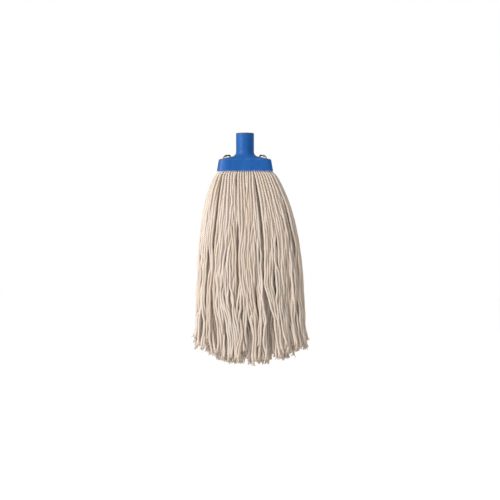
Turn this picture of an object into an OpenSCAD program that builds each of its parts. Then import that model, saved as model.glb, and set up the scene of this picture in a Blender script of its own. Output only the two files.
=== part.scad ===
// String mop head: a moulded hood socket, a wire-tied retaining bar and folded cotton yarn.
// Millimetres, +Z up. The origin is the centre of the handle bore's mouth, on top of the
// neck. X runs along the hood's length and -Y is the front.

/* [Socket] */
// Outside diameter of the neck
neck_d = 32; // [30:0.5:34]
// Straight height of the neck
neck_h = 33; // [30:0.5:34]
// Diameter of the bore that takes the handle
bore_d = 25.5; // [24:0.5:26]
// Depth of the blind bore
bore_depth = 45; // [40:0.5:46]
// Height of the whole socket, from its mouth to the hood's rim
socket_h = 67.5; // [66:0.5:70]
// Length of the hood at its rim
rim_len = 100; // [98:0.5:104]
// Depth of the hood at its rim, front to back
rim_depth = 48; // [47:0.5:54]
// Length that the hood loses from its rim up to its shoulder
hood_taper = 6; // [4:0.5:6]
// Thickness of the hood's wall
wall = 2.6; // [2.2:0.1:2.8]

/* [Bar and wires] */
// Diameter of the retaining bar
bar_d = 5; // [4:0.1:5]
// Length of the retaining bar
bar_len = 88; // [84:1:90]
// Height of the bar's axis above the hood's rim
bar_above_rim = 5; // [4.8:0.1:5.2]
// Diameter of the tie wire
wire_d = 1.8; // [1.6:0.1:1.9]
// Distance from the socket's middle to the middle of each tie
tie_x = 32; // [31:0.5:33]
// Distance between the two legs of a tie, along the hood
tie_span = 12; // [11:0.5:13]
// Distance between the two legs of a tie, across the hood
tie_across = 7.4; // [7.2:0.1:7.6]
// Height of a tie's arch above the shoulder
arch_h = 5.8; // [5.4:0.2:7]

/* [Yarn] */
// Length of the middle yarn below the rim
yarn_len = 345; // [300:5:380]
// How much shorter the yarn is at either side
side_shorter = 42; // [20:2:60]
// Half of the skirt's width where it leaves the hood
yarn_half_top = 51; // [48:0.5:52]
// Growth of that half width towards the ends
yarn_spread = 46; // [30:1:60]
// Half of the skirt's depth where it leaves the hood
yarn_depth_top = 19; // [18:0.5:19.5]
// Growth of that half depth towards the ends
yarn_depth_spread = 13; // [10:1:30]
// Depth over which the skirt opens out
spread_over = 85; // [70:1:110]
// Sideways lean of the hanging ends
yarn_lean = 10; // [0:1:12]

/* [Hidden] */
HANKS = 8;
ROWS = [1 : HANKS];

plastic = "steelblue";
zinc = "silver";
cotton = "antiquewhite";
round_fn = 48;

// Socket heights and half sizes
neck_r = neck_d / 2;
hood_neck_r = neck_r + 0.15;  // a hairline ledge where the neck leaves the hood
fillet = 9;             // concave sweep from the neck into the shoulder
shoulder_fall = 4.5;    // drop of the shoulder from the neck out to its edge
corner_r = 3;           // rounding of the shoulder's outer edge
rim_z = -socket_h;
rim_x = rim_len / 2;
rim_y = rim_depth / 2;
top_x = rim_x - hood_taper / 2;
top_y = rim_y - hood_taper * rim_depth / rim_len;
shoulder_z = -neck_h - fillet - shoulder_fall;
edge_z = shoulder_z - corner_r;
roof_z = edge_z;        // flat roof of the hood's cavity
square_n = 5;           // superellipse power of the hood's outline
bar_z = rim_z + bar_above_rim;

// Fits and gaps
wire_clear = 0.4;       // round the tie wires, in the shoulder and the yarn
hank_gap = 0.5;         // between neighbouring hanks
cavity_gap = 0.4;       // between the folded yarn and the hood
bar_gap = 0.4;          // between the folded yarn and the bar
hang_gap = 7;           // between the folded yarn and the hanging yarn
eps = 0.1;

// A point of a superellipse with half sizes a and b and power n, at angle t
function super_point(a, b, n, t) = [
    a * sign(cos(t)) * pow(abs(cos(t)), 2 / n),
    b * sign(sin(t)) * pow(abs(sin(t)), 2 / n)
];

function loop_at(half, n, z, steps) = [
    for (i = [0 : steps - 1])
        let (p = super_point(half[0], half[1], n, 360 * i / steps)) [p[0], p[1], z]
];

// Faces that join equal loops of m points into one closed solid
function skin_faces(rings, m) = concat(
    [[for (j = [m - 1 : -1 : 0]) j]],
    [for (i = [0 : rings - 2]) for (j = [0 : m - 1])
        let (k = (j + 1) % m)
            each [[i * m + j, i * m + k, (i + 1) * m + k],
                  [i * m + j, (i + 1) * m + k, (i + 1) * m + j]]],
    [[for (j = [0 : m - 1]) (rings - 1) * m + j]]
);

// Loops run from the bottom up, each anticlockwise seen from above
module skin(loops) {
    polyhedron(
        points = [for (l = loops) each l],
        faces = [for (f = skin_faces(len(loops), len(loops[0]))) [for (j = [len(f) - 1 : -1 : 0]) f[j]]]
    );
}

// ---- Socket ----

// How far the outline has grown from the round neck (0) to the hood's shoulder (1)
function grown(x) = max(0, min(1, (x - hood_neck_r) / (top_x - hood_neck_r)));
function half_depth(x) = hood_neck_r + (top_y - hood_neck_r) * pow(grown(x), 0.45);

// Half length and height down the side: neck sweep, shoulder, rounded edge, tapered skirt
hood_profile = concat(
    [for (a = [0 : 18 : 90]) [hood_neck_r + fillet * (1 - cos(a)), -neck_h - fillet * sin(a)]],
    [for (s = [0.5, 1])
        [(hood_neck_r + fillet) * (1 - s) + (top_x - corner_r) * s, shoulder_z + shoulder_fall * (1 - s)]],
    [for (a = [30 : 30 : 90]) [top_x - corner_r * (1 - sin(a)), shoulder_z - corner_r * (1 - cos(a))]],
    [[rim_x, rim_z]]
);

function hood_depth(p) = p[1] > edge_z
    ? half_depth(p[0])
    : top_y + (rim_y - top_y) * (edge_z - p[1]) / (edge_z - rim_z);

module hood_shell() {
    skin([
        for (i = [len(hood_profile) - 1 : -1 : 0])
            let (p = hood_profile[i])
                loop_at([p[0], hood_depth(p)], 2 + (square_n - 2) * grown(p[0]), p[1], 40)
    ]);
}

// The hood's hollow, made smaller all round by gap and cut off at the height low
module hollow(gap, low) {
    slope = (rim_x - top_x) / (edge_z - rim_z);
    slope_y = (rim_y - top_y) / (edge_z - rim_z);
    top = roof_z - gap;
    skin([
        for (z = [low, top])
            let (d = edge_z - z)
                loop_at([top_x - wall - gap + slope * d, top_y - wall - gap + slope_y * d],
                        square_n, z, 40)
    ]);
}

module at_wire_legs(side) {
    for (s = [-1, 1])
        translate([side * (tie_x + s * tie_span / 2), -s * tie_across / 2, 0]) children();
}

module socket() {
    color(plastic) difference() {
        union() {
            translate([0, 0, -neck_h]) cylinder(d = neck_d, h = neck_h, $fn = round_fn);
            hood_shell();
        }
        translate([0, 0, -bore_depth]) cylinder(d = bore_d, h = bore_depth + 1, $fn = round_fn);
        hollow(0, rim_z - 1);
        for (side = [-1, 1]) at_wire_legs(side)
            translate([0, 0, roof_z - 1])
                cylinder(d = wire_d + 2 * wire_clear, h = 12, $fn = round_fn);
    }
}

// ---- Retaining bar ----

module retaining_bar() {
    color(zinc) translate([-bar_len / 2, 0, bar_z])
        rotate([0, 90, 0]) cylinder(d = bar_d, h = bar_len, $fn = round_fn);
}

// ---- Tie wires ----

twist_r = wire_d / 2 + 0.15;     // each strand's distance from the middle of the twist
twist_turns = 1.25;
arch_foot = 1.2;                 // height of the arch's feet above the shoulder
arch_lift = arch_h - arch_foot - twist_r - wire_d / 2;
under_z = bar_z - bar_d / 2 - wire_d / 2 - 0.2;
tail = 0.9;                      // share of the arch that each strand covers

// Height of the sloping shoulder at a distance x from the socket's middle
function shoulder_at(x) = let (inner = hood_neck_r + fillet, outer = top_x - corner_r)
    shoulder_z + shoulder_fall * (outer - x) / (outer - inner);

// The middle line of the arch, from one leg (s = 0) over to the other (s = 1)
function arch(s) = [
    -tie_span / 2 * cos(180 * s),
    tie_across / 2 * cos(180 * s),
    shoulder_at(tie_x - tie_span / 2 * cos(180 * s)) + arch_foot + arch_lift * sin(180 * s)
];

// One strand: it winds round that line, and meets its own leg at its first end
function strand(s, first) = let (
    fade = sin(90 * min(1, (first == 0 ? s : 1 - s) * 5)),
    turn = 360 * twist_turns * s + 180 * first
) arch(s) + twist_r * fade * [sin(turn) * sin(180 * s) * 0.5, cos(turn), sin(turn)];

leg_x = tie_span / 2;
leg_y = tie_across / 2;
under_bend = 1.6;
wire_path = concat(
    [for (i = [0 : 14]) strand(tail * (1 - i / 14), 0)],
    [[-leg_x, leg_y, shoulder_z - 3], [-leg_x, leg_y, under_z + under_bend]],
    [[-leg_x + 0.3, leg_y - 0.2, under_z + 0.5], [-leg_x + 1.5, leg_y - 0.9, under_z]],
    [[leg_x - 1.5, -leg_y + 0.9, under_z], [leg_x - 0.3, -leg_y + 0.2, under_z + 0.5]],
    [[leg_x, -leg_y, under_z + under_bend], [leg_x, -leg_y, shoulder_z - 3]],
    [for (i = [0 : 14]) strand(1 - tail * i / 14, 1)]
);

function unit(v) = v / norm(v);
function heading(path, i) = unit(path[min(i + 1, len(path) - 1)] - path[max(i - 1, 0)]);

// Sideways directions carried along the path, so that the tube does not twist
function carry(path, i = 0, side = [0, 1, 0]) =
    let (h = heading(path, i), s = unit(side - (side * h) * h))
        i == len(path) - 1 ? [s] : concat([s], carry(path, i + 1, s));

module tube(path, d, sides) {
    frames = carry(path);
    skin([
        for (i = [0 : len(path) - 1])
            let (u = frames[i], v = cross(heading(path, i), u))
                [for (j = [0 : sides - 1])
                    let (a = 360 * j / sides) path[i] + d / 2 * (cos(a) * u + sin(a) * v)]
    ]);
}

module tie_wire(side) {
    color(zinc) translate([side * tie_x, 0, 0])
        tube([for (p = wire_path) [side * p[0], p[1], p[2]]], wire_d, 8);
}

// ---- Folded yarn, over the bar ----

fold_low = rim_z + 1;
fold_half = rim_y - wall;               // cut to the hollow afterwards
fold_inner = bar_d / 2 + bar_gap;
fold_half_len = rim_x - wall - cavity_gap;

function hank_edge(i, side) = -1 + 2 * (i - 1 + side) / HANKS;

module wire_channel(side) {
    channel = wire_d + 3 * wire_clear;
    at_wire_legs(side)
        translate([0, 0, fold_low - 1]) cylinder(d = channel, h = 30, $fn = 24);
    translate([side * tie_x - tie_span / 2 - channel, -tie_across / 2 - channel / 2, fold_low - 1])
        cube([tie_span + 2 * channel, tie_across + channel, under_z + 2 * wire_d - fold_low + 1]);
}

module fold_hank(i) {
    x0 = fold_half_len * hank_edge(i, 0) + hank_gap / 2;
    x1 = fold_half_len * hank_edge(i, 1) - hank_gap / 2;
    color(cotton) difference() {
        intersection() {
            translate([x0, -fold_half, fold_low])
                cube([x1 - x0, 2 * fold_half, roof_z - fold_low]);
            hollow(cavity_gap, fold_low - 1);
        }
        translate([x0 - eps, 0, bar_z]) rotate([0, 90, 0])
            cylinder(r = fold_inner, h = x1 - x0 + 2 * eps, $fn = round_fn);
        translate([x0 - eps, -fold_inner, fold_low - 1])
            cube([x1 - x0 + 2 * eps, 2 * fold_inner, bar_z - fold_low + 1]);
        if (abs((x0 + x1) / 2) > tie_x - tie_span)
            wire_channel(sign(x0 + x1));
    }
}

// ---- Hanging yarn ----

hang_z = fold_low - hang_gap;
hang_rings = 12;
edge_steps = 5;

function opened(d) = 1 - exp(-d / spread_over);
function hank_len(u) = yarn_len - (rim_z - hang_z) - side_shorter * pow(abs(u), 2.2);

// Cross-section of hank i at depth d below its top: a slice of the skirt's rounded outline
function hank_loop(i, d) = let (
    a = yarn_half_top + yarn_spread * opened(d),
    b = yarn_depth_top + yarn_depth_spread * opened(d),
    n = 5 - 2.6 * opened(d),
    inner = 0.5 + 2.5 * exp(-d / 20),
    shift = yarn_lean * opened(d),
    x0 = a * hank_edge(i, 0) + hank_gap / 2,
    x1 = a * hank_edge(i, 1) - hank_gap / 2
) concat(
    [for (s = [0 : edge_steps])
        let (x = x0 + (x1 - x0) * s / edge_steps,
             y = b * pow(max(0, 1 - pow(min(1, abs(x) / a), n)), 1 / n))
            [x + shift, -max(inner + 1, y), hang_z - d]],
    [[x1 + shift, -inner, hang_z - d], [x0 + shift, -inner, hang_z - d]]
);

module hank(i) {
    u = (hank_edge(i, 0) + hank_edge(i, 1)) / 2;
    color(cotton) skin([for (k = [0 : hang_rings]) hank_loop(i, hank_len(u) * pow(1 - k / hang_rings, 1.4))]);
}

module front_hank(i) { hank(i); }
module back_hank(i) { mirror([0, 1, 0]) hank(i); }

socket();
retaining_bar();
tie_wire(-1);  // tie_wire_left
tie_wire(1);  // tie_wire_right
for (i = ROWS) {
    fold_hank(i);
    front_hank(i);
    back_hank(i);
}
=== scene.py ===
"""Looks of a string mop head: moulded hood socket, wire-tied bar and folded cotton yarn.

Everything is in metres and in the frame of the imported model: +Z up, the origin on the mouth
of the handle bore, X along the hood and -Y at the front.
"""

import logging
import math
from collections.abc import Callable, Sequence
from dataclasses import dataclass, field
from enum import Enum

import bmesh
import bpy
import numpy as np
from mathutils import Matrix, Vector


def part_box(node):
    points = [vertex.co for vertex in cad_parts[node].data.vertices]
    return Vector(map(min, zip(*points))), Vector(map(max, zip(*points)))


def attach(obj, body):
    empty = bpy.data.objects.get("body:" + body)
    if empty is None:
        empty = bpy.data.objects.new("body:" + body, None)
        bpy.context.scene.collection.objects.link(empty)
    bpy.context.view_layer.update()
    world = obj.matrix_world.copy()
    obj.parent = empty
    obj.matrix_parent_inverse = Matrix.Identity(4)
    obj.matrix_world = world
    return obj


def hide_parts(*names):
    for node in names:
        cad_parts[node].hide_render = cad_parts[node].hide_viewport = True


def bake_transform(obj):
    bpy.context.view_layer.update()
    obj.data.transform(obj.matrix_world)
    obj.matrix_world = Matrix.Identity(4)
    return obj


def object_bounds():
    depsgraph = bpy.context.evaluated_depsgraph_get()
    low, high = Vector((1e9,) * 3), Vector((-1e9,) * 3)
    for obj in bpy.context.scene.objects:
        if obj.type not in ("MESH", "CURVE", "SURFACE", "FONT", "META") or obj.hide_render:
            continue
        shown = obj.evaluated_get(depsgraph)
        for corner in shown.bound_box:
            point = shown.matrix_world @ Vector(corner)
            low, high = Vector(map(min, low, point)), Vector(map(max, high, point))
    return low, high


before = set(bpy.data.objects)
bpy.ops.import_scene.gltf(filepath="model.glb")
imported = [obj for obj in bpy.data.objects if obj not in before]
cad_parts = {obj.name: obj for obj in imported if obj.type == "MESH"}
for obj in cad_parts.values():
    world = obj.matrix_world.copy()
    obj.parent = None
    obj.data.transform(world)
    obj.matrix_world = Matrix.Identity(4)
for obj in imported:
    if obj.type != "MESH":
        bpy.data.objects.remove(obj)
cad_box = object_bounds()

logging.basicConfig(level=logging.INFO, format="%(message)s")
log = logging.getLogger("mop")

MM = 0.001
Colour = tuple[float, float, float, float]
Array = np.ndarray


class Side(Enum):
    """The two curtains of hanging yarn; the value is the sign of their Y."""

    FRONT = -1
    BACK = 1

    @property
    def word(self) -> str:
        """The word that piece and body names use."""
        return self.name.lower()


# ---------------------------------------------------------------- shader writing


class Sock:
    """A shader value that Python operators turn into Math nodes."""

    def __init__(self, shader: "Shader", socket: bpy.types.NodeSocket) -> None:
        """Wraps one output socket.

        Args:
            shader: The material that the socket belongs to.
            socket: The output socket.
        """
        self.shader = shader
        self.socket = socket

    def _math(self, operation: str, first: object, second: object) -> "Sock":
        """Adds one Math node.

        Args:
            operation: The node's operation.
            first: Its first value or link.
            second: Its second value or link.

        Returns:
            The node's result.
        """
        settings = {"operation": operation}
        return self.shader.node("ShaderNodeMath", settings, {0: first, 1: second})["Value"]

    def __add__(self, other: object) -> "Sock":
        """Sum."""
        return self._math("ADD", self, other)

    __radd__ = __add__

    def __sub__(self, other: object) -> "Sock":
        """Difference."""
        return self._math("SUBTRACT", self, other)

    def __rsub__(self, other: object) -> "Sock":
        """Difference from a number."""
        return self._math("SUBTRACT", other, self)

    def __mul__(self, other: object) -> "Sock":
        """Product."""
        return self._math("MULTIPLY", self, other)

    __rmul__ = __mul__

    def __truediv__(self, other: object) -> "Sock":
        """Quotient."""
        return self._math("DIVIDE", self, other)

    def __rtruediv__(self, other: object) -> "Sock":
        """A number divided by the value."""
        return self._math("DIVIDE", other, self)

    def power(self, exponent: float) -> "Sock":
        """The value raised to an exponent."""
        return self._math("POWER", self, exponent)

    def cos(self) -> "Sock":
        """Cosine of an angle in radians."""
        return self._math("COSINE", self, 0.0)

    def sin(self) -> "Sock":
        """Sine of an angle in radians."""
        return self._math("SINE", self, 0.0)

    def step(self, low: float, high: float) -> "Sock":
        """A smooth step.

        Args:
            low: Where the result is 0.
            high: Where the result is 1.

        Returns:
            The stepped value.
        """
        settings = {"interpolation_type": "SMOOTHSTEP"}
        inputs = {"Value": self, "From Min": low, "From Max": high}
        return self.shader.node("ShaderNodeMapRange", settings, inputs)["Result"]


class Outputs:
    """The output sockets of a node that was just made."""

    def __init__(self, shader: "Shader", node: bpy.types.Node) -> None:
        """Keeps the node for its outputs.

        Args:
            shader: The material that the node belongs to.
            node: The node.
        """
        self.shader = shader
        self.node = node

    def __getitem__(self, name: str | int) -> Sock:
        """The output with that name or number."""
        return Sock(self.shader, self.node.outputs[name])


class Shader:
    """One material, written as expressions."""

    def __init__(self, name: str) -> None:
        """Starts a material with an empty Principled BSDF.

        Args:
            name: The material's name.
        """
        self.material = bpy.data.materials.new(name)
        self.material.use_nodes = True
        self.tree = self.material.node_tree
        self.surface = self.tree.nodes["Principled BSDF"]

    def node(self, kind: str, settings: dict | None = None, inputs: dict | None = None) -> Outputs:
        """Adds one node.

        Args:
            kind: The node's type name.
            settings: Its properties.
            inputs: A value or a Sock for each named or numbered input.

        Returns:
            The node's outputs.
        """
        node = self.tree.nodes.new(kind)
        for key, value in (settings or {}).items():
            setattr(node, key, value)
        for key, value in (inputs or {}).items():
            self._feed(node.inputs[key], value)
        return Outputs(self, node)

    def _feed(self, target: bpy.types.NodeSocket, value: object) -> None:
        """Links a Sock to an input, or sets the input's own value."""
        if isinstance(value, Sock):
            self.tree.links.new(value.socket, target)
        else:
            target.default_value = value

    def set(self, **values: object) -> None:
        """Sets or links the surface's own sockets; underscores in a name stand for spaces."""
        for key, value in values.items():
            self._feed(self.surface.inputs[key.replace("_", " ")], value)

    def place(self) -> Sock:
        """Object coordinates, in metres."""
        return self.node("ShaderNodeTexCoord")["Object"]

    def split(self, vector: Sock) -> tuple[Sock, Sock, Sock]:
        """The three parts of a vector."""
        parts = self.node("ShaderNodeSeparateXYZ", None, {"Vector": vector})
        return parts["X"], parts["Y"], parts["Z"]

    def join(self, x: object, y: object, z: object) -> Sock:
        """A vector of three values."""
        return self.node("ShaderNodeCombineXYZ", None, {"X": x, "Y": y, "Z": z})["Vector"]

    def stretch(self, vector: Sock, scale: tuple[float, float, float]) -> Sock:
        """A vector scaled on each axis."""
        inputs = {"Vector": vector, "Scale": scale}
        return self.node("ShaderNodeMapping", None, inputs)["Vector"]

    def noise(self, vector: Sock, scale: float, detail: float = 3.0, rough: float = 0.5) -> Sock:
        """A noise value from 0 to 1.

        Args:
            vector: Where it is read.
            scale: Features per unit of that vector.
            detail: Octaves.
            rough: How strong the finer octaves are.

        Returns:
            The noise.
        """
        inputs = {"Vector": vector, "Scale": scale, "Detail": detail, "Roughness": rough}
        return self.node("ShaderNodeTexNoise", None, inputs)["Fac"]

    def blend(self, factor: object, first: object, second: object) -> Sock:
        """A colour mix, from the first colour at 0 to the second at 1."""
        settings = {"data_type": "RGBA", "clamp_factor": True}
        return self.node("ShaderNodeMix", settings, {0: factor, 6: first, 7: second})[2]

    def bump(self, height: Sock, depth: float, strength: float = 1.0) -> Sock:
        """A bumped normal.

        Args:
            height: The relief, from 0 to 1.
            depth: How deep a relief of 1 is, in metres.
            strength: Share of the relief that is used.

        Returns:
            The normal.
        """
        inputs = {"Height": height, "Distance": depth, "Strength": strength}
        return self.node("ShaderNodeBump", None, inputs)["Normal"]


# ---------------------------------------------------------------- finishes


@dataclass(frozen=True)
class BluePlastic:
    """Moulded polypropylene: satin, with flow marks and pale rubbed edges."""

    deep: Colour = (0.004, 0.090, 0.345, 1)
    body: Colour = (0.009, 0.122, 0.420, 1)
    rubbed: Colour = (0.13, 0.27, 0.56, 1)
    edges: tuple[float, ...] = (0.0,)
    edge_width: float = 1.2 * MM

    def material(self) -> bpy.types.Material:
        """Writes the material; it is rubbed pale near each height in `edges`.

        Returns:
            The material.
        """
        s = Shader("blue_plastic")
        place = s.place()
        height = s.split(place)[2]
        flow = s.noise(s.stretch(place, (1, 1, 0.25)), 60, 4, 0.6)
        grain = s.noise(place, 1900, 2, 0.6)
        scuffs = s.noise(s.stretch(place, (0.35, 1, 1.6)), 420, 5, 0.7)
        offs = [(height - edge) / self.edge_width for edge in self.edges]
        near = sum((1 / (1 + off * off)) * 0.6 for off in offs)
        worn = (near * scuffs.step(0.42, 0.66)).step(0.08, 0.6)
        tone = s.blend(flow.step(0.3, 0.7), self.deep, self.body)
        colour = s.blend(worn * 0.55 + scuffs.step(0.6, 0.8) * 0.12, tone, self.rubbed)
        s.set(
            Base_Color=colour,
            Roughness=0.44 + scuffs * 0.12 + worn * 0.1,
            Specular_IOR_Level=0.3,
            Normal=s.bump(grain * 0.6 + flow * 0.4 + scuffs * 0.3, 0.12 * MM, 0.6),
        )
        return s.material


@dataclass(frozen=True)
class ZincSteel:
    """Galvanised wire and bar: grey zinc with dull patches and drawing lines."""

    bright: Colour = (0.36, 0.37, 0.38, 1)
    dull: Colour = (0.12, 0.115, 0.11, 1)

    def material(self) -> bpy.types.Material:
        """Writes the material.

        Returns:
            The material.
        """
        s = Shader("zinc_steel")
        place = s.place()
        patches = s.noise(place, 260, 4, 0.6).step(0.35, 0.65)
        lines = s.noise(s.stretch(place, (1, 1, 0.15)), 2600, 2, 0.5)
        s.set(
            Base_Color=s.blend(patches, self.dull, self.bright),
            Metallic=0.85,
            Roughness=0.62 - patches * 0.22 + lines * 0.08,
            Normal=s.bump(lines + patches * 0.4, 0.03 * MM, 0.5),
        )
        return s.material


@dataclass(frozen=True)
class CottonYarn:
    """Undyed plied cotton: fibres along the yarn, with painted shade in the ply valleys and among the yarns.
    """

    pale: Colour = (0.97, 0.89, 0.81, 1)
    warm: Colour = (0.86, 0.73, 0.605, 1)
    # painted shade: the colour in the valleys where the plies meet
    groove: Colour = (0.42, 0.29, 0.195, 1)
    # painted shade: the colour where neighbouring yarns hide the spot
    between: Colour = (0.34, 0.22, 0.14, 1)
    seed: Colour = (0.30, 0.20, 0.11, 1)
    plies: int = 4
    pitch: float = 15 * MM
    turn_scale: float = 15.0

    def material(self) -> bpy.types.Material:
        """Writes the material, which reads what the spinner stores on each piece.

        Returns:
            The material. It reads the UV map `plies`, and `shade`, `tip` and `cover`: each yarn's own
            tone, how near its cut end is, and how far its neighbours hide the spot, painted in as shade.
        """
        s = Shader("cotton_yarn")
        around, along, _ = s.split(s.node("ShaderNodeUVMap", {"uv_map": "plies"})["UV"])
        stored = ("shade", "tip", "cover")
        shade, tip, cover = (s.node("ShaderNodeAttribute", {"attribute_name": n})["Fac"] for n in stored)
        turn = (around + along / self.pitch) * (2 * math.pi)
        ring = s.join(
            turn.cos() * self.turn_scale + shade * 40,
            turn.sin() * self.turn_scale,
            along * 330,
        )
        fibres = s.noise(ring, 1.0, 3, 0.65)
        fluff = s.noise(s.join(turn.cos() * 3 + shade * 17, turn.sin() * 3, along * 90), 1.0, 2, 0.5)
        crown = (around * (2 * math.pi * self.plies)).cos() * 0.5 + 0.5
        blotch = s.noise(s.place(), 22, 2, 0.5)
        tone = shade * 0.55 + blotch * 0.5 + fibres * 0.35 + fluff * 0.7 - 0.6
        cotton = s.blend(tone.step(0.05, 0.85), self.warm, self.pale)
        # painted shade in the valleys where the plies meet, a little deeper where the fibre noise is low
        hollow = (1 - crown).power(2.0) * 0.8 + (0.5 - fibres) * 0.3
        groove_shaded = s.blend(hollow, cotton, self.groove)
        flecks = s.noise(ring, 0.55, 1, 0.4).step(0.73, 0.78)
        flecked = s.blend(flecks * 0.5, groove_shaded, self.seed)
        tipped = s.blend(tip * 0.35, flecked, self.warm)
        # painted shade where neighbouring yarns hide the spot, darker the more they cover it
        colour = s.blend(cover.power(2.0) * 0.52, tipped, self.between)
        s.set(
            Base_Color=colour,
            Roughness=0.95,
            Specular_IOR_Level=0.15,
            Sheen_Weight=0.12,
            Sheen_Roughness=0.5,
            Normal=s.bump(crown.power(0.6) * 0.7 + fibres * 0.5 + fluff * 0.3, 0.35 * MM, 0.8),
        )
        return s.material


# ---------------------------------------------------------------- mesh helpers


def add_object(name: str, data: bpy.types.ID) -> bpy.types.Object:
    """Puts new data in the scene.

    Args:
        name: The object's name.
        data: Its mesh, curve, light or camera.

    Returns:
        The object, at the origin.
    """
    made = bpy.data.objects.new(name, data)
    bpy.context.scene.collection.objects.link(made)
    return made


def coat(piece: bpy.types.Object, material: bpy.types.Material) -> None:
    """Gives a piece one material in place of any that it has."""
    piece.data.materials.clear()
    piece.data.materials.append(material)


def bake_down(piece: bpy.types.Object) -> bpy.types.Object:
    """Turns a curve or a modified mesh into a plain mesh object of the same name.

    Args:
        piece: The object to turn; it is removed.

    Returns:
        The mesh object.
    """
    name = piece.name
    graph = bpy.context.evaluated_depsgraph_get()
    mesh = bpy.data.meshes.new_from_object(piece.evaluated_get(graph))
    bpy.data.objects.remove(piece)
    mesh.name = name
    return add_object(name, mesh)


def mesh_from_rings(name: str, rings: Sequence[Array]) -> bpy.types.Object:
    """Skins equal rings of points into one closed mesh with its faces outwards.

    Args:
        name: The object's name.
        rings: Rings in order, each of the same number of points.

    Returns:
        The object.
    """
    count = len(rings[0])
    points = np.concatenate(rings)
    faces = [
        (i * count + j, i * count + (j + 1) % count, (i + 1) * count + (j + 1) % count, (i + 1) * count + j)
        for i in range(len(rings) - 1)
        for j in range(count)
    ]
    faces.append(tuple(range(count))[::-1])
    faces.append(tuple((len(rings) - 1) * count + j for j in range(count)))
    mesh = bpy.data.meshes.new(name)
    mesh.from_pydata(points.tolist(), [], faces)
    mesh.update()
    return add_object(name, mesh)


def close_seams(mesh: bpy.types.Mesh, gap: float = 0.002 * MM) -> None:
    """Welds points that lie in one place, as where a tube meets its end caps.

    Args:
        mesh: The mesh to close.
        gap: The most that two points may be apart.
    """
    work = bmesh.new()
    work.from_mesh(mesh)
    bmesh.ops.remove_doubles(work, verts=work.verts, dist=gap)
    if work.calc_volume(signed=True) < 0:
        bmesh.ops.reverse_faces(work, faces=work.faces)
    work.to_mesh(mesh)
    work.free()


def smooth_noise(rng: np.random.Generator, steps: int, waves: float) -> Array:
    """A smooth random curve about zero.

    Args:
        rng: The random source.
        steps: Number of samples.
        waves: Rough number of waves over the whole length.

    Returns:
        The samples, from about -1 to 1.
    """
    t = np.linspace(0, 1, steps)
    total = np.zeros(steps)
    for share in (1.0, 0.6, 0.35):
        wave = waves * rng.uniform(0.6, 1.4) / share**0.7
        total += share * np.sin(2 * np.pi * (wave * t + rng.random()))
    return total / 1.4


def ramp(x: Array, low: float, high: float) -> Array:
    """A smooth step from 0 at `low` to 1 at `high`."""
    t = np.clip((x - low) / (high - low), 0, 1)
    return t * t * (3 - 2 * t)


# ---------------------------------------------------------------- socket


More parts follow.
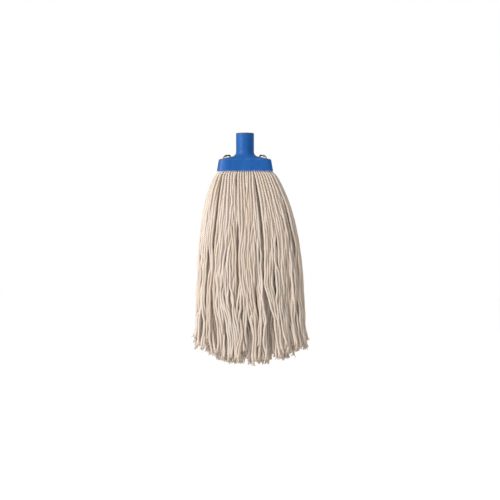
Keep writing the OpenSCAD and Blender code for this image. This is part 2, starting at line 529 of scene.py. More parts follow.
@dataclass
class HoodSocket:
    """The moulded socket: a round neck that sweeps out into a long low hood."""

    low: Vector
    high: Vector
    neck_r: float = 16 * MM
    bore_r: float = 12.75 * MM
    bore_depth: float = 45 * MM
    neck_h: float = 33 * MM
    sweep: float = 9 * MM
    shoulder_fall: float = 4.5 * MM
    corner_r: float = 3 * MM
    taper: float = 3 * MM
    wall: float = 2.6 * MM
    square: float = 5.0
    around: int = 64
    wire_hole_r: float = 1.3 * MM

    @classmethod
    def from_frame(cls) -> "HoodSocket":
        """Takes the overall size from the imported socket."""
        low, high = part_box("socket")
        return cls(low, high)

    @property
    def rim(self) -> tuple[float, float]:
        """Half sizes at the rim."""
        return self.high.x, self.high.y

    @property
    def top(self) -> tuple[float, float]:
        """Half sizes just under the shoulder."""
        rim_x, rim_y = self.rim
        return rim_x - self.taper, rim_y - self.taper * 2 * rim_y / rim_x

    @property
    def shoulder_z(self) -> float:
        """Height of the shoulder's outer edge."""
        return -self.neck_h - self.sweep - self.shoulder_fall

    @property
    def edge_z(self) -> float:
        """Height where the shoulder's rounding meets the side."""
        return self.shoulder_z - self.corner_r

    def shoulder_at(self, x: float) -> float:
        """Height of the sloping shoulder at a distance x from the socket's middle."""
        inner, outer = self.neck_r + self.sweep, self.top[0] - self.corner_r
        return self.shoulder_z + self.shoulder_fall * (outer - x) / (outer - inner)

    def _ring(self, x: float, y: float, power: float, z: float) -> Array:
        """One ring of the outline, a superellipse.

        Args:
            x: Half length.
            y: Half depth.
            power: How square it is; 2 is an ellipse.
            z: Its height.

        Returns:
            The ring's points.
        """
        t = np.linspace(0, 2 * np.pi, self.around, endpoint=False)
        c, s = np.cos(t), np.sin(t)
        across = x * np.sign(c) * np.abs(c) ** (2 / power)
        deep = y * np.sign(s) * np.abs(s) ** (2 / power)
        return np.stack([across, deep, np.full_like(t, z)], axis=1)

    def _outside(self) -> list[Array]:
        """Rings of the outer face, from the neck's mouth down to the rim.

        Returns:
            The rings.
        """
        rings = []
        top_x, top_y = self.top
        mouth = ((0, 0.7), (0.15, 0.35), (0.45, 0.1), (0.9, 0))
        for drop, inset in mouth:
            r = self.neck_r - inset * MM
            rings.append(self._ring(r, r, 2, -drop * MM))
        for z in np.linspace(3 * MM, self.neck_h - 1 * MM, 5):
            rings.append(self._ring(self.neck_r, self.neck_r, 2, -z))
        for x, z in self._shoulder_profile(top_x):
            grown = (x - self.neck_r) / (top_x - self.neck_r)
            y = self.neck_r + (top_y - self.neck_r) * grown**0.45
            rings.append(self._ring(x, y, 2 + (self.square - 2) * grown, z))
        rim_x, rim_y = self.rim
        for t in (0.1, 0.5, 0.9, 0.97, 0.995):
            x, y = top_x + (rim_x - top_x) * t, top_y + (rim_y - top_y) * t
            rings.append(self._ring(x, y, self.square, self.edge_z + (self.low.z - self.edge_z) * t))
        return rings

    def _shoulder_profile(self, top_x: float) -> list[tuple[float, float]]:
        """The outer face's profile down the sweep, the shoulder and its rounded edge.

        Args:
            top_x: Half length just under the shoulder.

        Returns:
            Half length and height at each point.
        """
        foot = self.neck_r + self.sweep
        points = [
            (self.neck_r + self.sweep * (1 - math.cos(a)), -self.neck_h - self.sweep * math.sin(a))
            for a in np.linspace(0, math.pi / 2, 9)
        ]
        inner = top_x - self.corner_r
        points += [
            (foot + (inner - foot) * t, self.shoulder_z + self.shoulder_fall * (1 - t))
            for t in (0.3, 0.6, 0.85, 1)
        ]
        points += [
            (inner + self.corner_r * math.sin(a), self.shoulder_z - self.corner_r * (1 - math.cos(a)))
            for a in np.linspace(0, math.pi / 2, 6)[1:]
        ]
        return points

    def _inside(self) -> list[Array]:
        """Rings of the hood's hollow, from the rim up to its roof.

        Returns:
            The rings.
        """
        rim_x, rim_y = self.rim
        top_x, top_y = self.top
        rings = [
            self._ring(rim_x - inset, rim_y - inset, self.square, self.low.z)
            for inset in (0.5 * MM, self.wall - 0.4 * MM)
        ]
        for t in (0.02, 0.06, 0.5, 0.93, 1.0):
            z = self.low.z + (self.edge_z - self.low.z) * t
            x = rim_x - self.wall + (top_x - rim_x) * t
            y = rim_y - self.wall + (top_y - rim_y) * t
            rings.append(self._ring(x, y, self.square, z))
        for share in (0.97, 0.85, 0.4, 0.05):
            x, y = (top_x - self.wall) * share, (top_y - self.wall) * share
            rings.append(self._ring(x, y, self.square, self.edge_z))
        return rings

    def _bore(self) -> list[Array]:
        """Rings of the handle bore, from its floor up to its mouth.

        Returns:
            The rings.
        """
        floor = [(self.bore_r * t, -self.bore_depth) for t in (0.1, 0.6, 0.97, 1)]
        side = [(self.bore_r, -self.bore_depth * (1 - t)) for t in (0.02, 0.5, 0.97, 0.99)]
        mouth = [(self.bore_r + out * MM, -drop * MM) for out, drop in ((0.12, 0.15), (0.5, 0.02), (1.4, 0))]
        return [self._ring(r, r, 2, z) for r, z in floor + side + mouth]

    def build(self, wire_holes: Sequence[tuple[float, float]]) -> bpy.types.Object:
        """Makes the socket's mesh.

        Args:
            wire_holes: X and Y of each hole for a tie wire.

        Returns:
            The socket.
        """
        piece = mesh_from_rings("hood_socket", self._bore() + self._outside() + self._inside())
        rounding = piece.modifiers.new("rounding", "SUBSURF")
        rounding.levels = rounding.render_levels = 1
        drills = [self._drill(x, y) for x, y in wire_holes]
        for drill in drills:
            cut = piece.modifiers.new("wire_hole", "BOOLEAN")
            cut.operation = "DIFFERENCE"
            cut.solver = "EXACT"
            cut.object = drill
        made = bake_down(piece)
        for drill in drills:
            bpy.data.objects.remove(drill)
        made.data.shade_smooth()
        made.data.set_sharp_from_angle(angle=math.radians(50))
        return made

    def _drill(self, x: float, y: float) -> bpy.types.Object:
        """A short rod that cuts one wire hole through the shoulder.

        Args:
            x: The hole's place across.
            y: Its place front to back.

        Returns:
            The rod, which is removed after the cut.
        """
        t = np.linspace(0, 2 * np.pi, 20, endpoint=False)
        circle = np.stack([x + self.wire_hole_r * np.cos(t), y + self.wire_hole_r * np.sin(t)], axis=1)
        ends = self.edge_z - 1 * MM, self.shoulder_z + 9 * MM
        return mesh_from_rings("drill", [np.column_stack([circle, np.full(len(t), z)]) for z in ends])

    def dress(self, piece: bpy.types.Object) -> None:
        """Gives the socket its finish and body, and hides the imported socket.

        Args:
            piece: The socket.
        """
        worn = (0.0, self.shoulder_z - 1 * MM, self.low.z)
        coat(piece, BluePlastic(edges=worn).material())
        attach(piece, "head")
        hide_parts("socket")


# ---------------------------------------------------------------- bar and tie wires


@dataclass
class BarTies:
    """The retaining bar's two tie wires, each twisted into an arch over the shoulder."""

    shoulder: Callable[[float], float]
    wire_r: float = 0.9 * MM
    middle: float = 32 * MM
    leg: tuple[float, float] = (6 * MM, 3.7 * MM)
    arch_h: float = 5.8 * MM
    arch_foot: float = 1.2 * MM
    turns: float = 1.25
    tail: float = 0.9
    steps: int = 14
    finish: ZincSteel = field(default_factory=ZincSteel)

    @property
    def holes(self) -> tuple[tuple[float, float], ...]:
        """Where the wires' legs pass through the shoulder."""
        x, y = self.leg
        return tuple((side * (self.middle + s * x), -s * y) for side in (-1, 1) for s in (-1, 1))

    def _strand(self, s: float, first: int) -> Vector:
        """A point of one strand as it winds along the arch.

        Args:
            s: Share of the way over the arch.
            first: 0 for the strand of one leg, 1 for the other's.

        Returns:
            The point, with X from the arch's middle.
        """
        x, y = -self.leg[0] * math.cos(math.pi * s), self.leg[1] * math.cos(math.pi * s)
        apart = self.wire_r + 0.15 * MM
        lift = (self.arch_h - self.arch_foot - apart - self.wire_r) * math.sin(math.pi * s)
        middle = Vector((x, y, self.shoulder(self.middle + x) + self.arch_foot + lift))
        fade = math.sin(math.pi / 2 * min(1, (s if first == 0 else 1 - s) * 5))
        turn = 2 * math.pi * self.turns * s + math.pi * first
        wound = Vector((math.sin(turn) * math.sin(math.pi * s) * 0.5, math.cos(turn), math.sin(turn)))
        return middle + wound * (apart * fade)

    def _path(self, side: int) -> list[Vector]:
        """The wire's middle line, from one tail under the bar to the other tail.

        Args:
            side: -1 on the left, 1 on the right.

        Returns:
            The points.
        """
        x, y = self.leg
        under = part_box("retaining_bar")[0].z - self.wire_r - 0.2 * MM
        hole = self.shoulder(self.middle + x) - 4 * MM
        leg = [
            Vector((-x, y, hole)),
            Vector((-x, y, under + 1.6 * MM)),
            Vector((-x + 0.3 * MM, y - 0.2 * MM, under + 0.5 * MM)),
            Vector((-x + 1.5 * MM, y - 0.9 * MM, under)),
        ]
        n = self.steps
        points = [self._strand(self.tail * (1 - i / n), 0) for i in range(n + 1)]
        points += leg + [Vector((-p.x, -p.y, p.z)) for p in reversed(leg)]
        points += [self._strand(1 - self.tail * i / n, 1) for i in range(n + 1)]
        return [Vector((side * (self.middle + p.x), p.y, p.z)) for p in points]

    def build(self, side: int) -> bpy.types.Object:
        """Makes one tie wire.

        Args:
            side: -1 on the left, 1 on the right.

        Returns:
            The wire.
        """
        curve = bpy.data.curves.new("tie", "CURVE")
        curve.dimensions = "3D"
        curve.bevel_depth = self.wire_r
        curve.bevel_resolution = 3
        curve.use_fill_caps = True
        path = self._path(side)
        spline = curve.splines.new("NURBS")
        spline.points.add(len(path) - 1)
        for point, place in zip(spline.points, path):
            point.co = (*place, 1.0)
        spline.use_endpoint_u = True
        spline.order_u = 3
        spline.resolution_u = 4
        made = bake_down(add_object(f"twisted_tie_{'left' if side < 0 else 'right'}", curve))
        made.data.shade_smooth()
        return made

    def dress(self, pieces: dict[int, bpy.types.Object]) -> None:
        """Gives the wires and the bar their finish.

        Args:
            pieces: The wire on each side.
        """
        metal = self.finish.material()
        for side, piece in pieces.items():
            coat(piece, metal)
            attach(piece, "head")
            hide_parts("tie_wire_left" if side < 0 else "tie_wire_right")
        coat(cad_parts["retaining_bar"], metal)


# ---------------------------------------------------------------- yarn


@dataclass
class Skirt:
    """The outline that the hanging yarn fills, by depth below the hood's rim."""

    rim_z: float
    length: float
    spread: float
    deepen: float
    lean: float
    half_top: float = 50 * MM
    pinch: float = 5.6 * MM
    depth_top: float = 19.2 * MM
    spread_over: float = 85 * MM
    fluff: float = 2.5 * MM
    side_shorter: float = 36 * MM
    tilt: float = 2 * MM

    @classmethod
    def from_frame(cls) -> "Skirt":
        """Takes the skirt's length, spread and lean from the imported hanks.

        Returns:
            The skirt.
        """
        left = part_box("front_hank_1")
        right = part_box("front_hank_8")
        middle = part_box("front_hank_4")
        rim_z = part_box("socket")[0].z
        full = 1 - math.exp(-(rim_z - middle[0].z) / cls.spread_over)
        half = (right[1].x - left[0].x) / 2 + cls.fluff
        return cls(
            rim_z=rim_z,
            length=rim_z - middle[0].z,
            spread=(half - cls.half_top) / full,
            deepen=(-middle[0].y - cls.depth_top) / full,
            lean=(right[1].x + left[0].x) / 2 / full,
        )

    def opened(self, depth: Array) -> Array:
        """How far the skirt has opened out, from 0 at the rim towards 1."""
        return 1 - np.exp(-np.maximum(depth, 0) / self.spread_over)

    def half_width(self, depth: Array) -> Array:
        """Half of the width: pinched by the hood, then bulging out below its rim."""
        pinched = self.pinch * (1 - ramp(depth, -1 * MM, 8 * MM))
        return self.half_top - pinched + self.spread * self.opened(depth)

    def half_depth(self, depth: Array) -> Array:
        """Half of the depth, front to back."""
        return self.depth_top + self.deepen * self.opened(depth)

    def shift(self, depth: Array) -> Array:
        """Sideways lean."""
        return self.lean * self.opened(depth) ** 1.5

    def power(self, depth: Array) -> Array:
        """How square the outline is."""
        return 5 - 2.5 * self.opened(depth)

    def hang(self, across: Array) -> Array:
        """Length of the yarn at each place across, from -1 to 1."""
        return self.length - self.side_shorter * np.abs(across) ** 2.6 + self.tilt * across


@dataclass
class Strand:
    """One end of a yarn, ready to be made."""

    hank: int
    side: Side
    layer: int
    path: Array
    cover: Array
    shade: float


@dataclass
class Groom:
    """Combs the yarn ends: where each hangs, how they gather in locks and keep apart.

    The ends come out of the hood in rows of `columns`, `layers` deep on either side of the bar.
    Two layers make a pair, and a lock is a few neighbouring columns of one pair. Lengths below
    the rim are depths. `bins` is the number of directions in which cover is kept.
    """

    skirt: Skirt
    columns: int = 24
    layers: int = 6
    hanks: int = 8
    yarn_r: float = 1.95 * MM
    inner_row: float = 4.6 * MM
    above_rim: float = 8 * MM
    levels: int = 72
    opened_by: float = 70 * MM
    lock_columns: tuple[int, int] = (1, 5)
    fan: float = 0.15
    fan_depth: float = 95 * MM
    wander: float = 6 * MM
    tuft_depths: tuple[float, float] = (215 * MM, 330 * MM)
    tuft_lean: tuple[float, float] = (7 * MM, 3 * MM)
    sway: float = 1.6 * MM
    end_bend: float = 42 * MM
    longest_cut: float = 42 * MM
    cover_reach: float = 9 * MM
    bins: int = 16
    seed: int = 34

    def __post_init__(self) -> None:
        """Sets out the roots and the depths."""
        self.rng = np.random.default_rng(self.seed)
        self.depth = np.linspace(-self.above_rim, self.skirt.length, self.levels)
        rows = [
            (side, layer, column)
            for side in Side
            for layer in range(self.layers)
            for column in range(self.columns)
        ]
        self.side = np.array([r[0].value for r in rows])
        self.layer = np.array([r[1] for r in rows])
        self.column = np.array([r[2] for r in rows])
        self.count = len(rows)

    def _across(self) -> Array:
        """Sets the roots out across the hood; the two layers of a pair alternate.

        Returns:
            Each root's place across, from -1 to 1.
        """
        middle = (self.columns - 1) / 2
        stagger = np.where(self.layer % 2 == 0, -0.25, 0.25)
        return (self.column - middle + stagger) / (middle + 0.45)

    def _targets(self, across: Array) -> Array:
        """Where each end would hang if the skirt only opened out.

        Args:
            across: Each root's place across.

        Returns:
            X and Y by level and end.
        """
        depth = self.depth[:, None]
        inner = self.inner_row / self.skirt.depth_top
        start = inner + (1 - inner) * (1 - self.layer / (self.layers - 1))
        spread = 0.97 - 0.3 * (self.layer // 2)
        mix = ramp(depth, 0, self.opened_by)
        out = start * (1 - mix) + spread * mix
        power = self.skirt.power(depth)
        reach = (1 - np.abs(across * 0.985) ** power) ** (1 / power)
        x = self.skirt.half_width(depth) * across + self.skirt.shift(depth)
        y = self.side * out * self.skirt.half_depth(depth) * reach
        return np.stack([x, y], axis=2)

    def _locks(self) -> list[Array]:
        """Parts the ends into new locks, each a few neighbouring columns of one pair of layers.

        Returns:
            The numbers of each lock's ends.
        """
        locks = []
        for side in Side:
            for pair in range(self.layers // 2):
                level = (self.side == side.value) & (self.layer // 2 == pair)
                first = 0
                while first < self.columns:
                    last = first + int(self.rng.integers(*self.lock_columns))
                    locks.append(np.flatnonzero(level & (self.column >= first) & (self.column < last)))
                    first = last
        return locks

    def _gather(self, place: Array, across: Array) -> Array:
        """Lets each lock lean, wander and turn as one, so that neighbouring locks cross.

        Args:
            place: X and Y by level and end.
            across: Each root's place across.

        Returns:
            The gathered places.
        """
        made = place.copy()
        grow = ramp(self.depth, 15 * MM, 240 * MM)
        late = ramp(self.depth, 90 * MM, 340 * MM)
        below = np.maximum(self.depth, 0)
        early = below * np.exp(-below / self.fan_depth)
        for members in self._locks():
            centre = place[:, members].mean(axis=1)
            turn = self.rng.normal(0, 0.6) * late
            edge = np.abs(across[members]).mean() ** 3
            drift = np.stack([
                smooth_noise(self.rng, self.levels, 1.3) * self.wander,
                smooth_noise(self.rng, self.levels, 1.3) * self.wander * 0.5,
            ], axis=1) * (grow * (1 - 0.3 * edge))[:, None]
            drift[:, 0] += early * self.rng.normal(0, self.fan) * (1 - 0.4 * edge)
            tight = self.rng.uniform(0.0, 0.3) * grow[:, None, None]
            offset = (place[:, members] - centre[:, None]) * (1 - tight)
            cos, sin = np.cos(turn)[:, None], np.sin(turn)[:, None]
            turned = np.stack([
                offset[:, :, 0] * cos - offset[:, :, 1] * sin,
                offset[:, :, 0] * sin + offset[:, :, 1] * cos,
            ], axis=2)
            made[:, members] = centre[:, None] + turned + drift[:, None]
        return made

    def _tuft(self, place: Array, across: Array) -> Array:
        """Gathers the last stretch of a few neighbouring ends to a tuft that leans to one side.

        Args:
            place: X and Y by level and end, which it changes.
            across: Each root's place across.

        Returns:
            The same places.
        """
        late = ramp(self.depth, *self.tuft_depths)[:, None]
        for members in self._locks():
            centre = place[:, members].mean(axis=1)
            free = 1 - 0.7 * np.abs(across[members]).mean() ** 3
            lean = self.rng.normal(0, 1, 2) * self.tuft_lean * free
            tight = self.rng.uniform(0.1, 0.55)
            drawn = (centre[:, None] - place[:, members]) * tight
            place[:, members] += (drawn + lean) * late[:, :, None]
        return place

    def _sway(self, place: Array) -> Array:
        """Adds each end's own slow bends and small kinks.

        Args:
            place: X and Y by level and end, which it changes.

        Returns:
            The same places.
        """
        grow = ramp(self.depth, 0, 180 * MM)
        for n in range(self.count):
            for axis, share in ((0, 1.0), (1, 0.8)):
                bends = smooth_noise(self.rng, self.levels, 4.5) * self.sway
                kinks = smooth_noise(self.rng, self.levels, 12.0) * self.sway * 0.24
                place[:, n, axis] += (bends + kinks) * grow * share
        return place

    def _relax(self, place: Array, rounds: int = 46) -> Array:
        """Pushes ends that overlap apart, level by level, and keeps the skirt's outline.

        Args:
            place: X and Y by level and end.
            rounds: Passes over all levels.

        Returns:
            The relaxed places.
        """
        width = 2 * self.yarn_r * (0.88 + 0.12 * ramp(self.depth, 0, 60 * MM))
        own = np.eye(self.count, dtype=bool)
        made = place.copy()
        fixed = (1 - ramp(self.depth, -2 * MM, 45 * MM))[:, None, None]
        for _ in range(rounds):
            push = np.zeros_like(made)
            for level in range(self.levels):
                apart = made[level, :, None] - made[level, None]
                gap = np.sqrt((apart**2).sum(axis=2)) + 1e-9
                short = np.clip(width[level] - gap, 0, None)
                short[own] = 0
                push[level] = (apart * (short / gap)[:, :, None]).sum(axis=1) * 0.34
            made += push * (1 - fixed)
            moved = self._keep_sides(self._clamp(made)) - place
            moved[1:-1] = moved[1:-1] * 0.6 + (moved[2:] + moved[:-2]) * 0.2
            made = place + moved * (0.988 * (1 - fixed))
        return self._clamp(made)

    def _clamp(self, place: Array) -> Array:
        """Draws ends that stand outside the skirt's outline back to it.

        Args:
            place: X and Y by level and end, which it changes.

        Returns:
            The same places.
        """
        depth = self.depth[:, None]
        power = self.skirt.power(depth)
        lean = self.skirt.shift(depth)
        a = self.skirt.half_width(depth)
        b = self.skirt.half_depth(depth)
        u = np.abs((place[:, :, 0] - lean) / a)
        v = np.abs(place[:, :, 1] / b)
        out = (u**power + v**power) ** (1 / power)
        back = 1 / np.maximum(out, 1)
        place[:, :, 0] = (place[:, :, 0] - lean) * back + lean
        place[:, :, 1] *= back
        return place

    def _keep_sides(self, place: Array) -> Array:
        """Keeps the front curtain in front of the back curtain.

        Args:
            place: X and Y by level and end, which it changes.

        Returns:
            The same places.
        """
        least = 0.9 * self.yarn_r
        reach = np.maximum(place[:, :, 1] * self.side, least)
        place[:, :, 1] = reach * self.side
        return place

    def _ends(self, place: Array, length: Array) -> Array:
        """Bends the last stretch of each end a little to one side, more at the two corners.

        Args:
            place: X and Y by level and end, which it changes.
            length: Each end's length below the rim.

        Returns:
            The same places.
        """
        corners = (0, 1, self.columns - 2, self.columns - 1)
        for n in range(self.count):
            last = ramp(self.depth, length[n] - self.end_bend, length[n] + 6 * MM) ** 1.5
            angle = self.rng.uniform(0, 2 * np.pi)
            reach = self.rng.gamma(2.0, 2.2) * MM
            away = np.array([np.cos(angle), 0.7 * np.sin(angle)]) * reach
            if self.column[n] in corners:
                away[0] = np.sign(self.column[n] - self.columns / 2) * self.rng.uniform(2, 9) * MM
            place[:, n] += last[:, None] * away
        return place

    def comb(self, ring_step: float) -> list[Strand]:
        """Works out every end's path.

        Args:
            ring_step: Spacing of the points along a path.

        Returns:
            The ends.
        """
        across = self._across()
        place = self._gather(self._targets(across), across)
        place = self._tuft(place, across)
        place = self._relax(self._sway(place))
        length = self._lengths(across)
        place = self._ends(place, length)
        cover = self._covered(place)
        return [self._strand(n, place[:, n], cover[:, n], length[n], ring_step) for n in range(self.count)]

    def _lengths(self, across: Array) -> Array:
        """Sets how far each end hangs: some are cut short alone, and some with their lock.

        Args:
            across: Each root's place across.

        Returns:
            Each end's length below the rim.
        """
        uneven = self.rng.gamma(1.4, 5.6, self.count) * MM
        for members in self._locks():
            uneven[members] += self.rng.gamma(1.1, 5.5) * MM
        return self.skirt.hang(across) + 5 * MM - np.minimum(uneven, self.longest_cut)

    def _covered(self, place: Array) -> Array:
        """Works out how far an end's neighbours cover it; the yarn's finish paints shade by this cover.

        Args:
            place: X and Y by level and end.

        Returns:
            Cover from 0 to 1, by level, end and direction.
        """
        angle = np.arange(self.bins) * (2 * np.pi / self.bins)
        facing = np.stack([np.cos(angle), np.sin(angle)])
        covered = np.empty((self.levels, self.count, self.bins))
        for level in range(self.levels):
            apart = place[level][None] - place[level][:, None]
            gap = np.sqrt((apart**2).sum(axis=2)) + 1e-9
            near = np.clip((self.cover_reach - gap) / (self.cover_reach - 2 * self.yarn_r), 0, 1)
            np.fill_diagonal(near, 0)
            toward = np.clip((apart / gap[:, :, None]) @ facing, 0, 1)
            covered[level] = 1 - np.prod(1 - 0.75 * near[:, :, None] * toward**2, axis=1)
        return covered

    def _strand(self, n: int, place: Array, cover: Array, length: float, ring_step: float) -> Strand:
        """Turns one end's places into a smooth path of evenly spaced points.

        Args:
            n: The end's number.
            place: X and Y by level.
            cover: Its cover by level and direction.
            length: How far it hangs below the rim.
            ring_step: Spacing of the points.

        Returns:
            The end.
        """
        steps = int(round((length + self.above_rim) / ring_step))
        depth = np.linspace(-self.above_rim, length, steps)
        level = [np.interp(depth, self.depth, place[:, axis]) for axis in (0, 1)]
        path = np.stack([*level, self.skirt.rim_z - depth], axis=1)
        for _ in range(5):
            path[1:-1, :2] = path[1:-1, :2] * 0.5 + (path[2:, :2] + path[:-2, :2]) * 0.25
        shadow = np.stack([np.interp(depth, self.depth, column) for column in cover.T], axis=1)
        hank = int(self.column[n] * self.hanks // self.columns) + 1
        side, layer = Side(int(self.side[n])), int(self.layer[n])
        return Strand(hank, side, layer, path, shadow, float(self.rng.random()))


@dataclass
class Tube:
    """One tube of yarn: what it needs at each point of its path."""

    path: Array
    thick: Array
    tilt: Array
    along: Array
    shade: Array
    tip: Array
    cover: Array


@dataclass
class Spinner:
    """Spins paths into plied yarn: lobed tubes whose cut ends open into their plies."""

    radius: float = 1.88 * MM
    pitch: float = 15 * MM
    ring_step: float = 1.5 * MM
    lobe: float = 0.2
    plies: int = 4
    wisps: int = 3
    sides: int = 8
    open_length: float = 10 * MM
    seed: int = 4

    def __post_init__(self) -> None:
        """Starts the random source of the cut ends."""
        self.rng = np.random.default_rng(self.seed)

    def _profile(self) -> bpy.types.Object:
        """Makes the yarn's cross-section, with one lobe for each ply.

        Returns:
            A closed flat curve.
        """
        curve = bpy.data.curves.new("ply_section", "CURVE")
        curve.dimensions = "2D"
        spline = curve.splines.new("POLY")
        spline.points.add(self.sides - 1)
        for k, point in enumerate(spline.points):
            angle = -2 * math.pi * k / self.sides
            r = self.radius * (1 + self.lobe * math.cos(self.plies * angle))
            point.co = (r * math.cos(angle), r * math.sin(angle), 0, 1)
        spline.use_cyclic_u = True
        return add_object("ply_section", curve)

    def tube(self, path: Array, thick: Array, twisted: bool, shade: float, tip: Array, cover: Array) -> Tube:
        """Gathers what one tube needs.

        Args:
            path: The tube's middle line.
            thick: Its thickness, as a share of the yarn's.
            twisted: Whether its plies turn round it.
            shade: The yarn's own tone.
            tip: How near the cut end is, from 0 to 1.
            cover: How far neighbours hide it, by direction.

        Returns:
            The tube.
        """
        steps = np.linalg.norm(np.diff(path, axis=0), axis=1)
        along = np.concatenate([[0.0], np.cumsum(steps)])
        tilt = along * (2 * math.pi / self.pitch if twisted else 0)
        return Tube(path, thick, tilt, along, np.full(len(path), shade), tip, cover)

    def hanging(self, strand: Strand) -> list[Tube]:
        """Tubes of one hanging end: the yarn, then its plies where the cut end has opened.

        Args:
            strand: The end.

        Returns:
            Its tubes.
        """
        cut = max(4, int(round(self.open_length / self.ring_step)))
        in_sight = strand.layer < 4 or strand.hank in (1, 8)
        every = 1 if in_sight else 2
        path, cover = strand.path[:-cut:every], strand.cover[:-cut:every]
        down = np.linspace(0, 1, len(path))
        thick = 0.90 + 0.12 * ramp(down, 0, 0.2) + 0.04 * smooth_noise(self.rng, len(path), 14)
        thick[-2:] *= (1.03, 0.8)
        yarn = self.tube(path, thick, True, strand.shade, 0.5 * ramp(down, 0.9, 1), cover)
        return [yarn, *self._opened(strand, cut, yarn.tilt[-1])]

    def _opened(self, strand: Strand, cut: int, tilt: float) -> list[Tube]:
        """Spreads the plies of a cut end, with a few thinner wisps among them.

        Args:
            strand: The end.
            cut: How many of its last points the opened part takes.
            tilt: How far the yarn has turned where its plies part.

        Returns:
            The plies and wisps.
        """
        points = 7
        base = strand.path[-cut - 1]
        down = strand.path[-1] - strand.path[-cut - 3]
        down /= np.linalg.norm(down)
        side = np.cross(down, (0.0, 1.0, 0.0))
        side /= np.linalg.norm(side)
        other = np.cross(down, side)
        spread = self.rng.uniform(0.6, 2.5)
        length = self.open_length * self.rng.uniform(0.6, 1.15)
        # the opened plies take a little less painted shade than the yarn where they part
        cover = np.repeat(strand.cover[-cut - 1][None] * 0.8, points, axis=0)
        made = []
        for k in range(self.plies + self.wisps):
            wisp = k >= self.plies
            full, thinner, longest = (0.22, 0.1, 1.2) if wisp else (0.48, 0.26, 1.05)
            s = np.linspace(-0.35, self.rng.uniform(0.6, longest), points)
            angle = tilt + 2 * math.pi * (k / self.plies + (self.rng.random() if wisp else 0)) + s * 1.8
            splay = 0.85 * spread * (self.rng.uniform(0.2, 1.5) if wisp else 1)
            reach = self.radius * (0.45 + splay * ramp(s, 0, 1.1) ** 1.3)
            path = base + np.outer(s * length, down)
            path = path + (np.cos(angle) * reach)[:, None] * side + (np.sin(angle) * reach)[:, None] * other
            thick = full - thinner * ramp(s, 0.2, 1.0)
            tip = 0.5 + 0.5 * ramp(s, -0.35, 0.8)
            made.append(self.tube(path, thick, False, strand.shade, tip, cover))
        return made

    def make(self, name: str, tubes: list[Tube]) -> bpy.types.Object:
        """Makes one mesh of tubes, with a UV map and attributes for the finish.

        Args:
            name: The piece's name.
            tubes: Its tubes.

        Returns:
            The piece.
        """
        section = self._profile()
        curve = bpy.data.curves.new(name, "CURVE")
        curve.dimensions = "3D"
        curve.twist_mode = "MINIMUM"
        curve.bevel_mode = "OBJECT"
        curve.bevel_object = section
        curve.use_fill_caps = True
        for tube in tubes:
            spline = curve.splines.new("POLY")
            count = len(tube.path)
            spline.points.add(count - 1)
            spline.points.foreach_set("co", np.column_stack([tube.path, np.ones(count)]).ravel())
            spline.points.foreach_set("radius", tube.thick)
            spline.points.foreach_set("tilt", tube.tilt)
        made = bake_down(add_object(name, curve))
        bpy.data.objects.remove(section)
        self._map(made.data, tubes)
        close_seams(made.data)
        made.data.shade_smooth()
        return made

    def _map(self, mesh: bpy.types.Mesh, tubes: list[Tube]) -> None:
        """Writes round-and-along coordinates, and the shade, tip and cover of every point.

        The mesh holds the tubes' end caps first, last tube first, and then their rings in order.

        Args:
            mesh: The tubes' mesh.
            tubes: The tubes.
        """
        every = {}
        for key in ("along", "tip", "shade", "cover"):
            values = [getattr(tube, key) for tube in tubes]
            caps = [value[i] for value in reversed(values) for i in (-1, 0)]
            every[key] = np.repeat(np.concatenate([caps, *values]), self.sides, axis=0)
        every["cover"] = self._facing_cover(mesh, every["cover"])
        corner, around = self._corners_around(mesh)
        layer = mesh.uv_layers[0] if mesh.uv_layers else mesh.uv_layers.new()
        layer.name = "plies"
        uv = np.column_stack([around, every["along"][corner]])
        layer.data.foreach_set("uv", uv.ravel().astype(np.float32))
        for title in ("shade", "tip", "cover"):
            values = every[title].astype(np.float32)
            mesh.attributes.new(title, "FLOAT", "POINT").data.foreach_set("value", values)

    @staticmethod
    def _facing_cover(mesh: bpy.types.Mesh, cover: Array) -> Array:
        """Picks each point's cover in the direction that the point faces.

        Args:
            mesh: The tubes' mesh.
            cover: Cover by point and direction.

        Returns:
            Cover by point.
        """
        normal = np.empty(len(cover) * 3, dtype=np.float32)
        mesh.vertex_normals.foreach_get("vector", normal)
        bins = cover.shape[1]
        turn = np.arctan2(normal[1::3], normal[::3]) / (2 * np.pi) % 1 * bins
        low = turn.astype(int) % bins
        point = np.arange(len(cover))
        first, second = cover[point, low], cover[point, (low + 1) % bins]
        return first + (second - first) * (turn % 1)

    def _corners_around(self, mesh: bpy.types.Mesh) -> tuple[Array, Array]:
        """Finds where each face corner stands round its tube, whole across the seam.

        Args:
            mesh: The tubes' mesh.

        Returns:
            Each corner's point, and its place round the tube from 0 to 1.
        """
        corner = np.empty(len(mesh.loops), dtype=np.int32)
        mesh.loops.foreach_get("vertex_index", corner)
        face = np.empty(len(mesh.polygons), dtype=np.int32)
        mesh.polygons.foreach_get("loop_total", face)
        owner = np.repeat(np.arange(len(face)), face)
        here = corner % self.sides
        wraps = np.zeros(len(face), dtype=bool)
        np.logical_or.at(wraps, owner, here == self.sides - 1)
        wraps &= face == 4
        past = np.where(wraps[owner] & (here == 0), self.sides, 0)
        return corner, (here + past) / self.sides


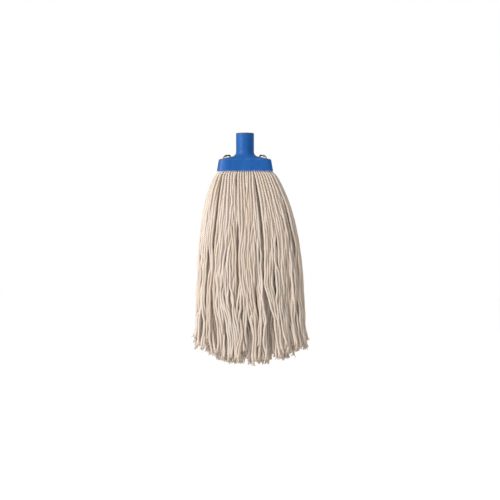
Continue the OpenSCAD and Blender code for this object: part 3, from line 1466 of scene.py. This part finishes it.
@dataclass
class YarnHanks:
    """The yarn in eight hanks: folds over the bar, a front curtain and a back curtain."""

    skirt: Skirt
    groom: Groom
    spinner: Spinner
    bend_length: float = 78 * MM
    roof_gap: float = 2.6 * MM

    def build(self) -> dict[str, bpy.types.Object]:
        """Makes every hank.

        Returns:
            The pieces by name.
        """
        strands = self.groom.comb(self.spinner.ring_step)
        made = {}
        for hank in range(1, self.groom.hanks + 1):
            for side in Side:
                name = f"yarn_{side.word}_{hank}"
                own = [strand for strand in strands if strand.hank == hank and strand.side is side]
                tubes = [tube for strand in own for tube in self.spinner.hanging(strand)]
                made[name] = self.spinner.make(name, tubes)
            made[f"yarn_fold_{hank}"] = self._fold(hank, strands)
        return made

    def _fold(self, hank: int, strands: list[Strand]) -> bpy.types.Object:
        """Makes the folded middles of one hank's yarns, which join its front and back ends.

        Args:
            hank: The hank's number.
            strands: All ends: those of the front, then those of the back in the same order.

        Returns:
            The piece.
        """
        half = len(strands) // 2
        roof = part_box(f"fold_hank_{hank}")[1].z - self.roof_gap
        tubes = []
        for front, back in zip(strands[:half], strands[half:]):
            if front.hank != hank:
                continue
            start, end = front.path[0], back.path[0]
            rise = (roof - start[2]) * (1 - 0.6 * front.layer / (self.groom.layers - 1))
            t = np.linspace(0, np.pi, 17)
            middle, reach = (start + end) / 2, (end - start) / 2
            path = middle - np.outer(np.cos(t), reach)
            path[:, 2] += rise * np.sin(t) ** 0.7
            path = np.concatenate([front.path[2:0:-1], path, back.path[1:3]])
            thick = 0.85 - 0.25 * np.sin(np.linspace(0, np.pi, len(path)))
            # the folds take an even, moderate painted shade in every direction
            cover = np.full((len(path), self.groom.bins), 0.4)
            tubes.append(self.spinner.tube(path, thick, True, front.shade, np.zeros(len(path)), cover))
        return self.spinner.make(f"yarn_fold_{hank}", tubes)

    def dress(self, pieces: dict[str, bpy.types.Object]) -> None:
        """Gives the yarn its finish, joins the folds to the head's body and hides the imported hanks.

        Args:
            pieces: The yarn's pieces by name.
        """
        cotton = CottonYarn(pitch=self.spinner.pitch, plies=self.spinner.plies).material()
        for name, piece in pieces.items():
            coat(piece, cotton)
            part, hank = name.removeprefix("yarn_").rsplit("_", 1)
            if part == "fold":
                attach(piece, "head")
            else:
                y = Side[part.upper()].value * self.skirt.depth_top
                end = (0, y, self.skirt.rim_z - self.bend_length)
                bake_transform(piece)
            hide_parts(f"{part}_hank_{hank}")


# ---------------------------------------------------------------- studio


@dataclass(frozen=True)
class Lamp:
    """One square soft light that faces the mop's middle."""

    name: str
    place: tuple[float, float, float]
    size: float
    power: float

    def build(self) -> None:
        """Adds the light to the scene."""
        data = bpy.data.lights.new(self.name, "AREA")
        data.size = self.size
        data.energy = self.power
        lamp = add_object(self.name, data)
        lamp.location = self.place
        middle = (cad_box[0] + cad_box[1]) / 2
        lamp.rotation_euler = (middle - Vector(self.place)).to_track_quat("-Z", "Y").to_euler()


@dataclass
class Studio:
    """A pale floor, soft light from the front left and a level camera."""

    eye: tuple[float, float, float] = (8.9 * MM, -2.47, -207.7 * MM)
    lens: float = 100.0
    sensor: float = 36.0
    floor_drop: float = 0.16
    floor_r: float = 9.0
    floor_glow: float = 0.58
    dome: float = 0.505
    lamps: tuple[Lamp, ...] = (
        Lamp("key_light", (-1.9, -1.35, 0.95), size=0.7, power=53.5),
        Lamp("back_fill", (1.4, 1.6, 0.8), size=1.6, power=1.2),
    )

    def camera(self) -> None:
        """Makes the level camera that faces the front."""
        data = bpy.data.cameras.new("front_camera")
        data.lens = self.lens
        data.sensor_width = self.sensor
        eye = add_object("front_camera", data)
        eye.location = self.eye
        eye.rotation_euler = (math.pi / 2, 0, 0)
        bpy.context.scene.camera = eye

    def floor(self) -> None:
        """Makes the plain floor under the hanging mop."""
        z = cad_box[0].z - self.floor_drop
        t = np.linspace(0, 2 * np.pi, 72, endpoint=False)
        disc = np.column_stack([np.cos(t), np.sin(t), np.zeros_like(t)])
        edges = (self.floor_r, 0.02), (self.floor_r, 0), (0.5, 0)
        piece = mesh_from_rings("studio_floor", [disc * (r, r, 1) + (0, 0, z - drop) for r, drop in edges])
        s = Shader("pale_floor")
        mottle = s.noise(s.place(), 6, 3, 0.5)
        white, warm = (0.93, 0.93, 0.93, 1), (0.91, 0.91, 0.905, 1)
        colour = s.blend(mottle, white, warm)
        s.set(Base_Color=colour, Roughness=0.8, Specular_IOR_Level=0.1)
        seen = s.node("ShaderNodeLightPath")["Is Camera Ray"]
        s.set(Emission_Color=colour, Emission_Strength=seen * self.floor_glow)
        coat(piece, s.material)

    def surroundings(self) -> None:
        """Makes the white surroundings: a dome of soft light, which the camera sees as white."""
        world = bpy.data.worlds.new("white_room")
        world.use_nodes = True
        tree = world.node_tree
        dome = tree.nodes["Background"]
        dome.inputs["Color"].default_value = (1, 1, 1, 1)
        dome.inputs["Strength"].default_value = self.dome
        seen = tree.nodes.new("ShaderNodeBackground")
        seen.inputs["Color"].default_value = (1, 1, 1, 1)
        seen.inputs["Strength"].default_value = 1.0
        rays = tree.nodes.new("ShaderNodeLightPath")
        mix = tree.nodes.new("ShaderNodeMixShader")
        tree.links.new(rays.outputs["Is Camera Ray"], mix.inputs["Fac"])
        tree.links.new(dome.outputs["Background"], mix.inputs[1])
        tree.links.new(seen.outputs["Background"], mix.inputs[2])
        tree.links.new(mix.outputs["Shader"], tree.nodes["World Output"].inputs["Surface"])
        bpy.context.scene.world = world

    def build(self) -> None:
        """Makes the whole studio."""
        self.camera()
        self.floor()
        for lamp in self.lamps:
            lamp.build()
        self.surroundings()
        bpy.context.scene.view_settings.view_transform = "Standard"


# ---------------------------------------------------------------- the whole mop


def report(piece: bpy.types.Object) -> None:
    """Logs one piece's name and size.

    Args:
        piece: The piece.
    """
    size = ", ".join(f"{v * 1000:.0f}" for v in piece.dimensions)
    faces = len(piece.data.polygons)
    log.info("%s: %s mm, %d faces", piece.name, size, faces)


def main() -> None:
    """Builds the studio, the socket, the ties and the yarn, in that order."""
    Studio().build()
    socket = HoodSocket.from_frame()
    ties = BarTies(shoulder=socket.shoulder_at)
    shell = socket.build(ties.holes)
    socket.dress(shell)
    report(shell)
    wires = {side: ties.build(side) for side in (-1, 1)}
    ties.dress(wires)
    for wire in wires.values():
        report(wire)
    skirt = Skirt.from_frame()
    yarn = YarnHanks(skirt, Groom(skirt), Spinner())
    pieces = yarn.build()
    yarn.dress(pieces)
    for piece in pieces.values():
        report(piece)


if __name__ == "__main__":
    main()
